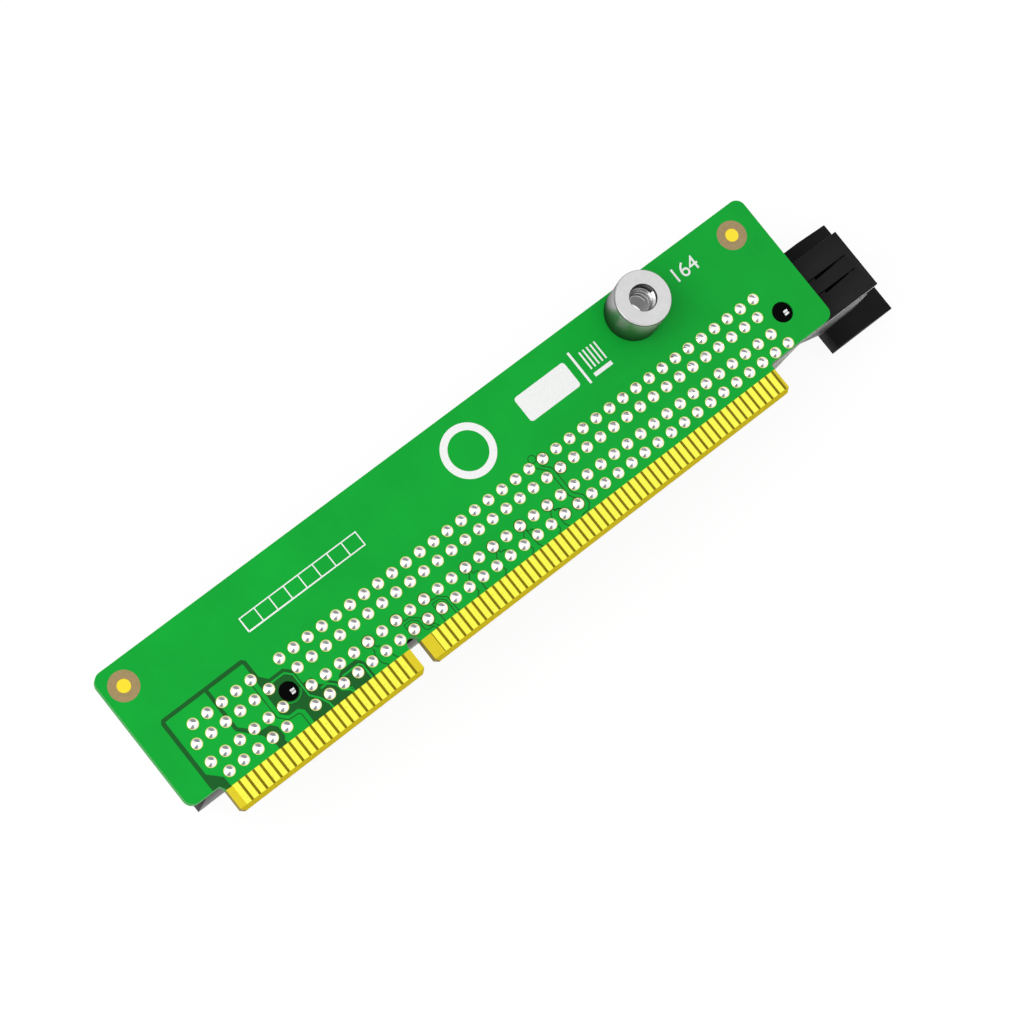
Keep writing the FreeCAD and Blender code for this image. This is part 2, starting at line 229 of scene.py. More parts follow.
def track(route, width, thick):
    """A flat ridge along a route: width in millimetres, thickness in metres."""
    piece = walk(route, "track")
    pick(piece)
    bpy.ops.object.convert(target="CURVE")
    piece = bpy.context.object
    piece.data.bevel_depth = width * MM / 2
    piece.data.bevel_resolution = 1
    piece.data.use_fill_caps = True
    bpy.ops.object.convert(target="MESH")
    piece = bpy.context.object
    flatten = Matrix.Diagonal((1, 1, 2 * thick / (width * MM), 1))
    to_face = Matrix.Translation((0, 0, SOLDER_FACE))
    piece.data.transform(to_face @ flatten @ to_face.inverted())
    return piece


def area(outline, thick):
    """A flat field of any outline, its thickness in metres."""
    piece = walk(outline + outline[:1], "area")
    start_editing(piece)
    bpy.ops.mesh.remove_doubles(threshold=SAME_CORNER)
    bpy.ops.mesh.select_all(action="SELECT")
    bpy.ops.mesh.edge_face_add()
    bpy.ops.mesh.extrude_region_move(TRANSFORM_OT_translate={"value": (0, 0, thick)})
    bpy.ops.object.mode_set(mode="OBJECT")
    faces_out(piece)
    return piece


def tablet(centre, size, corner, thick):
    """A flat rounded rectangle: centre, size and corner in millimetres, thickness in metres."""
    bpy.ops.mesh.primitive_plane_add(size=MM, location=place(*centre))
    piece = bpy.context.object
    piece.scale = (size[0], size[1], 1)
    bpy.ops.object.transform_apply(location=True, scale=True)
    start_editing(piece)
    if corner:
        bpy.ops.mesh.bevel(offset=corner * MM, segments=5, affect="VERTICES")
        bpy.ops.mesh.select_all(action="SELECT")
    bpy.ops.mesh.extrude_region_move(TRANSFORM_OT_translate={"value": (0, 0, thick)})
    bpy.ops.object.mode_set(mode="OBJECT")
    faces_out(piece)
    piece.name = "tablet"
    return piece


def block(name, size):
    """A plain block of one size in metres, centred on the origin."""
    bpy.ops.mesh.primitive_cube_add(size=1)
    piece = bpy.context.object
    piece.scale = size
    return set_down(piece, name)


# ---- finishes ----
LEAD_IN = 0.45 * MM                    # ground bevel at the tongue's tip
TOOL_MARKS = 0.06 * MM                 # pitch of the turning tool's rings
RIM = 0.2 * MM                         # broken edge at the standoff's top, painted dark as painted shade
SHADE_MIDDLE = 2.6 * MM                # height at which the painted shade on the standoff's side is half way from dark to bright
SHADE_REACH = 2.8 * MM                 # and how far that change runs either way


def grey(level):
    """One shader value as a colour."""
    return (level, level, level, 1.0)


def linear(code):
    """Screen colour, as rrggbb, to the shader's linear colour."""
    parts = [int(code[i:i + 2], 16) / 255 for i in (0, 2, 4)]
    return tuple(c / 12.92 if c <= 0.04045 else ((c + 0.055) / 1.055) ** 2.4 for c in parts) + (1.0,)


class Finish:
    """One material with its nodes, built up a step at a time."""

    def __init__(self, name, roughness, metallic=0.0, **sockets):
        """Sockets are set by their names, with underscores for spaces."""
        self.material = bpy.data.materials.new(name)
        self.material.use_nodes = True
        self.tree = self.material.node_tree
        self.shader = self.tree.nodes["Principled BSDF"]
        self.shader.inputs["Roughness"].default_value = roughness
        self.shader.inputs["Metallic"].default_value = metallic
        for socket, value in sockets.items():
            self.shader.inputs[socket.replace("_", " ")].default_value = value
        self.where = self.tree.nodes.new("ShaderNodeTexCoord")

    def node(self, kind, **settings):
        """A new node with its settings."""
        made = self.tree.nodes.new(kind)
        for key, value in settings.items():
            setattr(made, key, value)
        return made

    def wire(self, out, into):
        """Joins an output to an input."""
        self.tree.links.new(out, into)

    def noise(self, size_mm, detail=2.0, stretch=None):
        """Speckle of one size; stretch squeezes it along the row's axes."""
        made = self.node("ShaderNodeTexNoise")
        made.inputs["Scale"].default_value = 1 / (size_mm * MM)
        made.inputs["Detail"].default_value = detail
        if stretch:
            turn = self.node("ShaderNodeMapping")
            turn.inputs["Scale"].default_value = stretch
            self.wire(self.where.outputs["Object"], turn.inputs["Vector"])
            self.wire(turn.outputs["Vector"], made.inputs["Vector"])
        else:
            self.wire(self.where.outputs["Object"], made.inputs["Vector"])
        return made.outputs["Fac"]

    def blend(self, share, first, second):
        """Colour between two, either of which may be a socket."""
        made = self.node("ShaderNodeMix", data_type="RGBA")
        for socket, value in ((made.inputs[0], share), (made.inputs[6], first), (made.inputs[7], second)):
            if isinstance(value, (tuple, float)):
                socket.default_value = value
            else:
                self.wire(value, socket)
        return made.outputs[2]

    def spread(self, value, low, high):
        """Takes a speckle to a range of numbers."""
        made = self.node("ShaderNodeMapRange")
        made.inputs["From Min"].default_value = 0.3
        made.inputs["From Max"].default_value = 0.7
        made.inputs["To Min"].default_value = low
        made.inputs["To Max"].default_value = high
        self.wire(value, made.inputs["Value"])
        return made.outputs["Result"]

    def past(self, axis, edge, soft=0.02 * MM):
        """1 beyond an edge along an axis of the row, 0 before it."""
        split = self.node("ShaderNodeSeparateXYZ")
        self.wire(self.where.outputs["Object"], split.inputs["Vector"])
        made = self.node("ShaderNodeMapRange")
        made.inputs["From Min"].default_value = edge - soft
        made.inputs["From Max"].default_value = edge + soft
        self.wire(split.outputs[axis], made.inputs["Value"])
        return made.outputs["Result"]

    def facing(self, axis):
        """1 on faces that look along an axis, either way, 0 on the rest."""
        split = self.node("ShaderNodeSeparateXYZ")
        self.wire(self.where.outputs["Normal"], split.inputs["Vector"])
        size = self.node("ShaderNodeMath", operation="ABSOLUTE")
        self.wire(split.outputs[axis], size.inputs[0])
        step = self.node("ShaderNodeMath", operation="GREATER_THAN")
        step.inputs[1].default_value = 0.5
        self.wire(size.outputs[0], step.inputs[0])
        return step.outputs[0]

    def colour(self, value):
        """Base colour, from a colour or a socket."""
        if isinstance(value, tuple):
            self.shader.inputs["Base Color"].default_value = value
        else:
            self.wire(value, self.shader.inputs["Base Color"])
        return self

    def rough(self, value):
        """Roughness that varies over the surface."""
        self.wire(value, self.shader.inputs["Roughness"])
        return self

    def bump(self, value, depth_mm):
        """Shallow relief from a speckle."""
        made = self.node("ShaderNodeBump")
        made.inputs["Strength"].default_value = 1.0
        made.inputs["Distance"].default_value = depth_mm * MM
        self.wire(value, made.inputs["Height"])
        self.wire(made.outputs["Normal"], self.shader.inputs["Normal"])
        return self

    def on(self, piece):
        """Makes this the piece's only finish."""
        piece.data.materials.clear()
        piece.data.materials.append(self.material)
        return piece


def mask_finish(name, light, shade):
    """Green solder mask: faint cloudiness, a fine weave showing through, an even satin."""
    satin = 0.42
    made = Finish(name, satin, Specular_IOR_Level=0.05)
    cloud = made.noise(6.0, 3.0)
    weave = made.noise(0.3, 1.0, (1.0, 0.35, 1.0))
    base = made.blend(made.spread(cloud, 0.0, 0.5), linear(light), linear(shade))
    made.rough(made.spread(weave, satin - 0.04, satin + 0.04)).bump(weave, 0.004)
    return made, base


def board_finish():
    """Mask on the body, bare laminate on the tongue, a darker ground bevel at its tip, and painted shade on
    the tongue's sides that face along the row.
    """
    made, base = mask_finish("green_solder_mask", "14b23a", "12a135")
    grain = made.noise(0.25, 2.0, (1.0, 0.2, 1.0))
    tongue = made.blend(made.spread(grain, 0.0, 0.5), linear("ead62f"), linear("e2cc2b"))
    bevel = made.blend(made.spread(grain, 0.0, 0.6), linear("d4bf20"), linear("c8b11c"))
    tongue = made.blend(made.past("Y", TONGUE_TIP + LEAD_IN), bevel, tongue)
    base = made.blend(made.past("Y", FINGER_TOP), tongue, base)
    # painted shade: the tongue's sides that face along the row are painted a dark olive, its other sides a
    # light laminate
    edge = made.blend(made.facing("X"), linear("dcc62a"), linear("96840f"))
    edge = made.blend(made.past("Y", FINGER_TOP), edge, linear("18a437"))
    return made.colour(made.blend(made.facing("Z"), edge, base))


def plain_finish(name, light, shade, size_mm, roughness, metallic=0.0, depth_mm=0.003, **sockets):
    """Two near tones in a speckle of one size, with the same speckle in the gloss and the surface."""
    made = Finish(name, roughness, metallic, **sockets)
    speckle = made.noise(size_mm, 3.0)
    made.colour(made.blend(made.spread(speckle, 0.0, 1.0), linear(light), linear(shade)))
    made.rough(made.spread(speckle, roughness * 0.85, roughness * 1.15))
    return made.bump(speckle, depth_mm)


def also(piece, finish, chosen):
    """Puts a further finish on the faces that a rule chooses."""
    piece.data.materials.append(finish.material)
    for face in piece.data.polygons:
        if chosen(face):
            face.material_index = len(piece.data.materials) - 1


def on_flank(face):
    """True for the long outer sides of the slot and its latch."""
    slack = 0.12 * MM
    aside = abs(face.center.y - SLOT_LINE)
    return abs(face.normal.y) > 0.9 and FLANK - slack < aside < FLANK + slack


def in_bore(face):
    """True for the standoff's inner wall."""
    off_axis = (face.center.xy - STANDOFF_LINE.xy).length
    return off_axis < MOUTH_RADIUS * MM and abs(face.normal.z) < 0.8


def turned_metal_finish():
    """Tool rings on the flat faces about the standoff's axis, and a satin side painted darker than the top:
    painted shade that deepens to its foot, and a painted dark rim at the top.
    """
    flat_rough, side_rough = 0.25, 0.36
    made = Finish("turned_standoff_metal", flat_rough, 1.0, Specular_Tint=grey(0.6))
    centre = made.node("ShaderNodeMapping")
    centre.inputs["Location"].default_value = -STANDOFF_LINE
    made.wire(made.where.outputs["Object"], centre.inputs["Vector"])
    rings = made.node("ShaderNodeTexWave", wave_type="RINGS", rings_direction="Z")
    rings.inputs["Scale"].default_value = 1 / TOOL_MARKS
    rings.inputs["Distortion"].default_value = 0.4
    made.wire(centre.outputs["Vector"], rings.inputs["Vector"])
    speckle = made.noise(0.8, 2.0)
    bright = made.blend(made.spread(speckle, 0.0, 1.0), linear("d0d0d0"), linear("cbcbcb"))
    # painted shade: the side is darker than the top, and darker still towards its foot
    painted_foot_shade = made.past("Z", SOLDER_FACE + SHADE_MIDDLE, SHADE_REACH)
    side = made.blend(painted_foot_shade, linear("585858"), linear("b4b4b4"))
    # painted shade: the broken edge at the top is painted near black
    side = made.blend(made.past("Z", standoff_high.z - RIM), side, linear("1c1c1c"))
    flat = made.facing("Z")
    made.colour(made.blend(flat, side, bright))
    made.rough(made.blend(flat, grey(side_rough), grey(flat_rough)))
    return made.bump(made.blend(flat, grey(0.5), rings.outputs["Color"]), 0.0004)


# ---- what lies on the board: thicknesses in metres, widths and radii in millimetres ----
COPPER = 0.014 * MM                    # dark laminate under the mask
TRACK_THICK = COPPER * 1.4             # tracks stand proud of it
INK = 0.02 * MM
FRAME_WIDTH = 0.54
DIVIDER_WIDTH = 0.46
TRACK_WIDTH = 0.26
FINE_WIDTH = 0.14
EDGE_WIDTH = 0.13
COLLAR_RADIUS = 1.36                   # track that bends round the key peg
CLEARANCE = (0.77, 0.66)               # dark ring round a pin that joins no copper
VIA = (0.52, 0.43)
PRINTED_RING = (3.3, 2.4)


def bare_fields():
    """Dark stretches with no copper under the mask, about the power pins and the key peg."""
    frame_band = [(-1.55, -3.9), (-1.55, 5.15), (-1.35, 5.45), (9.4, 5.45), (9.65, 5.2), (9.65, 3.1)]
    divider = [(4.4, 5.3), (4.4, -0.1)]
    wedge = [(-1.3, -2.0), (0.1, -3.4), (0.15, -4.75), (-0.5, -4.7), (-0.9, -3.95), (-1.75, -3.9),
             (-1.75, -2.0)]
    power_bay = [(4.18, -0.2), (4.62, 0.0), (6.5, -1.85), (7.6, -1.95), (8.2, -2.6), (8.2, -3.9),
                 (7.95, -4.2), (7.95, -4.75), (6.85, -4.75), (6.85, -4.1), (6.35, -3.5), (6.35, -2.5)]
    peg_bay = [(9.4, 3.1), (9.85, 3.1), (10.65, 2.15), (12.55, 2.15), (13.35, 1.4), (13.35, -0.5),
               (14.5, -0.55), (14.65, -1.6), (15.2, -2.0), (15.9, -2.0), (16.6, -2.7), (16.6, -3.9),
               (17.4, -4.2), (17.4, -4.75), (11.7, -4.75), (11.7, -2.95), (11.15, -2.4), (9.95, -2.4),
               (9.25, -1.75)]
    far_bay = [(17.15, -2.2), (17.6, -1.95), (19.6, -1.95), (20.15, -2.5), (20.3, -2.9), (20.3, -4.75),
               (17.5, -4.75), (17.5, -4.1), (16.6, -3.7), (16.55, -2.8)]
    side_line = [(8.75, 2.6), (8.75, -1.8), (9.6, -2.75), (10.9, -2.85), (11.15, -3.1), (11.15, -4.75)]
    made = [track(frame_band, FRAME_WIDTH, COPPER), track(divider, DIVIDER_WIDTH, COPPER),
            track(side_line, FINE_WIDTH, COPPER)]
    made += [area(outline, COPPER / 2) for outline in (wedge, power_bay, far_bay)]
    about_peg = area(peg_bay, COPPER / 2)
    drill = turned("drill", [(KEY_PEG_RADIUS, -1), (KEY_PEG_RADIUS, 1)], 48, place(*KEY_PEG))
    finish_with(about_peg, "BOOLEAN", operation="DIFFERENCE", solver="EXACT", object=drill)
    bpy.data.objects.remove(drill)
    return join(made + [about_peg], "bare_fields")


def tracks_in_bays():
    """Copper tracks that cross the dark stretches."""
    routes = [
        [(10.6, 1.65), (12.4, 1.65), (13.1, 0.95), (13.1, -2.0), (13.85, -2.9), (14.35, -4.0),
         (14.4, -4.72)],
        [(14.6, -2.15), (15.5, -2.15), (16.2, -2.85), (16.4, -3.7), (17.2, -4.3), (17.3, -4.72)],
        [(17.3, -2.55), (19.6, -2.55), (19.9, -2.9), (19.9, -4.72)],
    ]
    made = [track(route, TRACK_WIDTH, TRACK_THICK) for route in routes]
    turns = [math.radians(angle) for angle in range(-140, -19, 10)]
    collar = [(KEY_PEG[0] + COLLAR_RADIUS * math.cos(turn), KEY_PEG[1] + COLLAR_RADIUS * math.sin(turn))
              for turn in turns]
    return join(made + [track(collar, FINE_WIDTH, TRACK_THICK)], "tracks_in_bays")


def track_edges():
    """Thin dark lines beside the tracks that leave the inner pins, and rings round lone pins and a via."""
    routes = [
        [(26.6, -1.72), (26.81, -1.87), (27.38, -1.87), (28.36, -2.66), (28.34, -3.6), (28.73, -4.07),
         (29.21, -4.04), (29.59, -4.72)],
        [(26.34, -3.5), (26.34, -2.22), (27.35, -2.2), (27.97, -2.76), (27.96, -3.9), (28.24, -4.23),
         (28.89, -4.25), (29.23, -4.71)],
        [(30.5, -1.74), (30.66, -1.85), (31.44, -1.9), (32.29, -2.63), (32.34, -4.47), (32.5, -4.7)],
        [(30.37, -4.72), (30.37, -2.22), (31.4, -2.22), (31.93, -2.8), (31.95, -4.75)],
        [(22.32, -1.99), (22.5, -2.33), (22.87, -2.35)],
        [(21.9, -2.19), (21.9, -2.6), (21.7, -2.8), (21.74, -3.93), (22.27, -4.65)],
        [(23.3, -3.95), (23.59, -4.6), (23.98, -4.79)],
        [(44.26, -2.04), (44.34, -4.08), (44.65, -4.72)],
        [(48.26, -2.14), (48.6, -2.23), (49.05, -2.48)],
        [(48.48, -2.87), (48.23, -3.48), (48.25, -4.06), (48.56, -4.69)],
        [(36.38, -3.57), (36.35, -4.45), (36.54, -4.77)],
        [(49.69, 2.84), (50.68, 1.73), (50.71, -1.8), (51.09, -2.51)],
        [(50.21, 2.77), (51.15, 1.91), (51.25, 1.4), (51.26, -1.85), (52.12, -2.76), (52.11, -3.88),
         (51.53, -4.49), (50.69, -4.51), (50.38, -4.68)],
    ]
    for x in (36, 40, 44, 48):
        routes.append([(x + 0.2, -1.95), (x + 0.32, -2.12), (x + 0.3, -2.3), (x + 0.78, -2.29),
                       (x + 0.98, -2.5)])
        routes.append([(x - 0.06, -2.0), (x - 0.42, -2.45), (x - 0.46, -2.72)])
        routes.append([(x - 0.6, -3.6), (x - 0.44, -4.22), (x - 0.76, -4.52), (x - 1.1, -4.75)])
    made = [track(route, EDGE_WIDTH, COPPER) for route in routes]
    apart = [place(x, -INNER_ROW) for x in (22, 26, 30, 36, 40, 44, 48)] + [place(52, INNER_ROW)]
    apart += [place(x, -OUTER_ROW) for x in (27, 29, 31, 49, 51)] + [place(51, OUTER_ROW)]
    made.append(set_out(washer("clear", *CLEARANCE, COPPER, 24, (0, 0, 0)), apart, "clear"))
    made.append(washer("via", *VIA, COPPER, 32, place(49.95, 3.92)))
    return join(made, "track_edges")


def ink_marks():
    """White print: a blank label field, a rule, ticks on a bar, a ring, a row of boxes and a number."""
    label = ((56.4, 9.0), (7.4, 3.4), 0.4)
    rule = ((61.2, 9.0), (0.3, 4.4), 0.0)
    bar = ((63.4, 7.3), (2.6, 0.5), 0.0)
    made = [tablet(*mark, INK) for mark in (label, rule, bar)]
    made.append(washer("ring", *PRINTED_RING, INK, 64, place(44.75, 9.05)))
    for step in range(5):
        made.append(tablet((62.3 + step * 0.55, 9.25), (0.2, 2.4), 0.0, INK))
    left, low, high, pitch, boxes = 12.2, 7.6, 9.4, 2.05, 8
    right = left + boxes * pitch
    made.append(track([(left, low), (right, low), (right, high), (left, high), (left, low)], 0.2, INK))
    for step in range(1, boxes):
        made.append(track([(left + step * pitch, low), (left + step * pitch, high)], FINE_WIDTH, INK))
    made.append(printed_number("164", 76.7, 10.0, 2.6))
    return join(made, "ink_marks")


def printed_number(text, x, y, size):
    """Figures of one height, with the print's thickness."""
    bpy.ops.object.text_add(location=place(x, y))
    piece = bpy.context.object
    piece.data.body = text
    piece.data.size = size * MM
    piece.data.extrude = INK / 2
    bpy.ops.object.convert(target="MESH")
    piece = bpy.context.object
    return set_down(piece, "number")


def mark_windows():
    """Round openings in the mask about the two aiming marks."""
    low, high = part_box("aiming_marks")
    mark_radius, window_radius, lift = 0.785 * MM, 1.8, 0.01
    spots = [Vector((low.x + mark_radius, high.y - mark_radius, SOLDER_FACE)),
             Vector((high.x - mark_radius, low.y + mark_radius, SOLDER_FACE))]
    master = turned("window", [(window_radius, 0), (window_radius, lift)], 48, (0, 0, 0))
    return set_out(master, spots, "mark_windows")


def painted_finger_shadows():
    """Painted shadow: dark strips where shade falls beside each gold finger, and a thin painted shadow line
    before the first long one.
    """
    finger, gap, gap_lift = 0.68 * MM, 0.32 * MM, 0.06 * MM
    line, line_lift = 0.1 * MM, 0.03 * MM
    made = []
    for group, count in (("short", 24), ("long", 51)):
        low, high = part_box("fingers_back_" + group)
        pitch = (high.x - low.x - finger) / (count - 1)
        length, middle = high.y - low.y, (low.y + high.y) / 2
        start = Vector((low.x + finger + gap / 2, middle, SOLDER_FACE))
        spots = [start + Vector((step * pitch, 0, 0)) for step in range(count)]
        made.append(set_out(block("gap", (gap, length, gap_lift)), spots, "gaps"))
        if group == "long":
            first = Vector((low.x - line / 2, middle, SOLDER_FACE))
            made.append(set_out(block("line", (line, length, line_lift)), [first], "line"))
    return join(made, "painted_finger_shadows")


# ---- solder, in millimetres ----
JOINT_RINGS = [(0.63, 0.0), (0.45, 0.124), (0.22, 0.248), (0.01, 0.34)]
JOINT_SIDES = 16
LAND_RADIUS = 0.675
LAND_LIFT = 0.02
LAND_SIDES = 20


def joint_spots(side, row):
    """Places of the joints in one row, on one side of the slot's centre line."""
    y = side * (INNER_ROW if row == "inner" else OUTER_ROW)
    return [place(pin_x(number), y) for number in row_pins(row)]


def solder_joints(side, row, name):
    """Fillets that rise from the land to a soft peak over each tail."""
    master = turned("joint", JOINT_RINGS, JOINT_SIDES, (0, 0, 0))
    smooth(master, 50)
    return set_out(master, joint_spots(side, row), name)


def solder_lands():
    """Gold-plated rims left bare round the joints."""
    master = turned("land", [(LAND_RADIUS, 0), (LAND_RADIUS, LAND_LIFT)], LAND_SIDES, (0, 0, 0))
    spots = [spot for side in (-1, 1) for row in ("inner", "outer") for spot in joint_spots(side, row)]
    return set_out(master, spots, "solder_lands")


# ---- standoff, in millimetres ----
BORE_RADIUS = 1.6
MOUTH_RADIUS = 1.65
SHANK_RADIUS = 2.1
THREAD_PITCH = 1.0
THREAD_ROOT = 1.61                     # sunk a little into the bore's wall
THREAD_CREST = 1.34
THREAD_FROM = 4.25                     # below the top
THREAD_TO = 0.1


def threaded_standoff():
    """Turned body with broken edges and a swaged shank, and the real helix in its bore."""
    tall = (standoff_high.z - SOLDER_FACE) / MM
    deep = (SOLDER_FACE - SLOT_FACE) / MM
    radius = (standoff_high.x - standoff_low.x) / 2 / MM
    shank = [(BORE_RADIUS, -deep), (SHANK_RADIUS, -deep), (SHANK_RADIUS, 0.01)]
    side = [(radius - 0.08, 0.01), (radius, 0.09), (radius, tall - 0.18), (radius - 0.06, tall - 0.07)]
    top = [(radius - 0.14, tall), (MOUTH_RADIUS, tall)]
    mouth = [(BORE_RADIUS - 0.03, tall - 0.12), (BORE_RADIUS, tall - 0.4)]
    spot = STANDOFF_LINE + Vector((0, 0, SOLDER_FACE))
    body = turned("standoff_body", shank + side + top + mouth, 96, spot, hollow=True)
    smooth(body, 35)
    return body, thread_helix(tall - THREAD_FROM, tall - THREAD_TO, spot)


def thread_helix(low, high, spot):
    """One ridge wound up the bore: a small outline swept by a screw."""
    ridge = [(THREAD_ROOT, 0.0), (THREAD_CREST, 0.22), (THREAD_CREST, 0.44), (THREAD_ROOT, 0.66)]
    corners = [(radius, low + THREAD_PITCH * share) for radius, share in ridge]
    bpy.ops.mesh.primitive_plane_add(size=MM, location=(0, 0, 0))
    piece = bpy.context.object
    start_editing(piece)
    bpy.ops.mesh.merge(type="CENTER")
    here = Vector((0, 0, 0))
    for index, (radius, height) in enumerate(corners + corners[:1]):
        there = Vector((radius * MM, 0, height * MM))
        if index:
            bpy.ops.mesh.extrude_region_move(TRANSFORM_OT_translate={"value": there - here})
        else:
            bpy.ops.transform.translate(value=there)
        here = there
    bpy.ops.mesh.select_all(action="SELECT")
    bpy.ops.mesh.remove_doubles(threshold=SAME_SPOT)
    bpy.ops.object.mode_set(mode="OBJECT")
    turns = int((high - low) / THREAD_PITCH) - 1
    finish_with(piece, "SCREW", axis="Z", steps=40, render_steps=40, screw_offset=THREAD_PITCH * MM,
                iterations=turns, use_merge_vertices=False)
    start_editing(piece)
    bpy.ops.mesh.fill_holes(sides=0)
    bpy.ops.object.mode_set(mode="OBJECT")
    faces_out(piece)
    piece.location = spot
    piece = set_down(piece, "thread")
    smooth(piece, 40)
    return piece


# ---- mouldings, in millimetres ----
BROKEN_EDGE = 0.06
LAND_SIZE = (0.62, 0.26, 0.3)          # slanted land on a peg's end
LAND_SPOT = (0.36, -0.24, -0.28)       # from the peg's axis and the solder face
HALF_GROOVE = 0.17                     # from the groove's middle to each land's
WINDOW = (0.62, 1.1, 1.6)              # pocket for one contact
WINDOW_ASIDE = 1.3                     # from the slot's centre line
OVERSHOOT = 0.15                       # how far the cutter stands out of the mouth


def eased_moulding(node, name):
    """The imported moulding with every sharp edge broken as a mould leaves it."""
    piece = bpy.data.objects.new(name, frame["nodes"][node].data.copy())
    bpy.context.scene.collection.objects.link(piece)
    start_editing(piece)
    bpy.ops.mesh.remove_doubles(threshold=SAME_CORNER)
    bpy.ops.mesh.dissolve_limited(angle_limit=math.radians(0.5))
    bpy.ops.object.mode_set(mode="OBJECT")
    finish_with(piece, "BEVEL", width=BROKEN_EDGE * MM, segments=2, limit_method="ANGLE",
                angle_limit=math.radians(35))
    smooth(piece, 40)
    return piece


def peg_ends():
    """Shallow ends of the two pegs in their holes, each with a pair of slanted lands split by a groove."""
    made = []
    for spot, radius, slant, heading in ((KEY_PEG, KEY_PEG_RADIUS, 18.2, -22.9),
                                         (END_PEG, END_PEG_RADIUS, 11.7, -39.7)):
        rings = [(radius, -0.4), (radius * 0.98, -0.24), (0.6, -0.235), (0.02, -0.23)]
        made.append(turned("dome", rings, 40, place(*spot)))
        lean = Matrix.Rotation(math.radians(heading), 4, "Z") @ Matrix.Rotation(math.radians(slant), 4, "Y")
        lean = lean @ Matrix.Rotation(math.radians(-heading), 4, "Z")
        for aside in (-HALF_GROOVE, HALF_GROOVE):
            land = block("land", [length * MM for length in LAND_SIZE])
            land.data.transform(lean @ Matrix.Translation((0, aside * MM, 0)))
            land.location = place(spot[0] + LAND_SPOT[0], spot[1] + LAND_SPOT[1], LAND_SPOT[2])
            made.append(set_down(land, "land"))
    return join(made, "peg_ends")


def contact_windows(housing):
    """Opens a pocket in the mouth beside the card slot for every contact."""
    cutter = block("cutter", [length * MM for length in WINDOW])
    mouth = housing_low.z + (WINDOW[2] / 2 - OVERSHOOT) * MM
    spots = []
    for side in (-1, 1):
        for number in range(1, SHORT_PINS + LONG_PINS + 1):
            spot = place(pin_x(number), side * WINDOW_ASIDE)
            spots.append(Vector((spot.x, spot.y, mouth)))
    cutters = set_out(cutter, spots, "cutters")
    finish_with(housing, "BOOLEAN", operation="DIFFERENCE", solver="EXACT", object=cutters)
    bpy.data.objects.remove(cutters)
    return housing


# ---- room, lights and camera ----
EVEN_LIGHT = 0.66                      # the room's light on matt surfaces
FLOOR_SHARE = 0.86                     # how much of the seen floor is its own even white
FLOOR_GLOW = 1.05
SCREEN_DARK = 0.74
# each screen's heading and half width in degrees, then its height and half height as sines
SCREENS = ((46.0, 47.0, 0.42, 0.22), (-140.0, 44.0, 0.66, 0.21), (120.0, 35.0, 0.06, 0.16))


def floor():
    """Pale floor that takes the card's shadow and reads as white."""
    bpy.ops.mesh.primitive_plane_add(size=4, location=(0, 0, 0))
    piece = bpy.context.object
    piece.name = "floor"
    made = Finish("white_floor", 0.6, Specular_IOR_Level=0.2)
    speckle = made.noise(40.0, 2.0)
    made.colour(made.blend(made.spread(speckle, 0.0, 1.0), linear("fafafa"), linear("f6f6f6")))
    glow = made.node("ShaderNodeEmission")
    seen = made.node("ShaderNodeLightPath")
    mixer = made.node("ShaderNodeMixShader")
    either = made.node("ShaderNodeMath", operation="MAXIMUM")
    share = made.node("ShaderNodeMath", operation="MULTIPLY")
    share.inputs[1].default_value = FLOOR_SHARE
    made.wire(seen.outputs["Is Camera Ray"], either.inputs[0])
    made.wire(seen.outputs["Is Glossy Ray"], either.inputs[1])
    made.wire(either.outputs[0], share.inputs[0])
    made.wire(share.outputs[0], mixer.inputs[0])
    made.wire(made.shader.outputs[0], mixer.inputs[1])
    made.wire(glow.outputs[0], mixer.inputs[2])
    made.wire(mixer.outputs[0], made.tree.nodes["Material Output"].inputs["Surface"])
    glow.inputs["Strength"].default_value = FLOOR_GLOW
    made.on(piece)


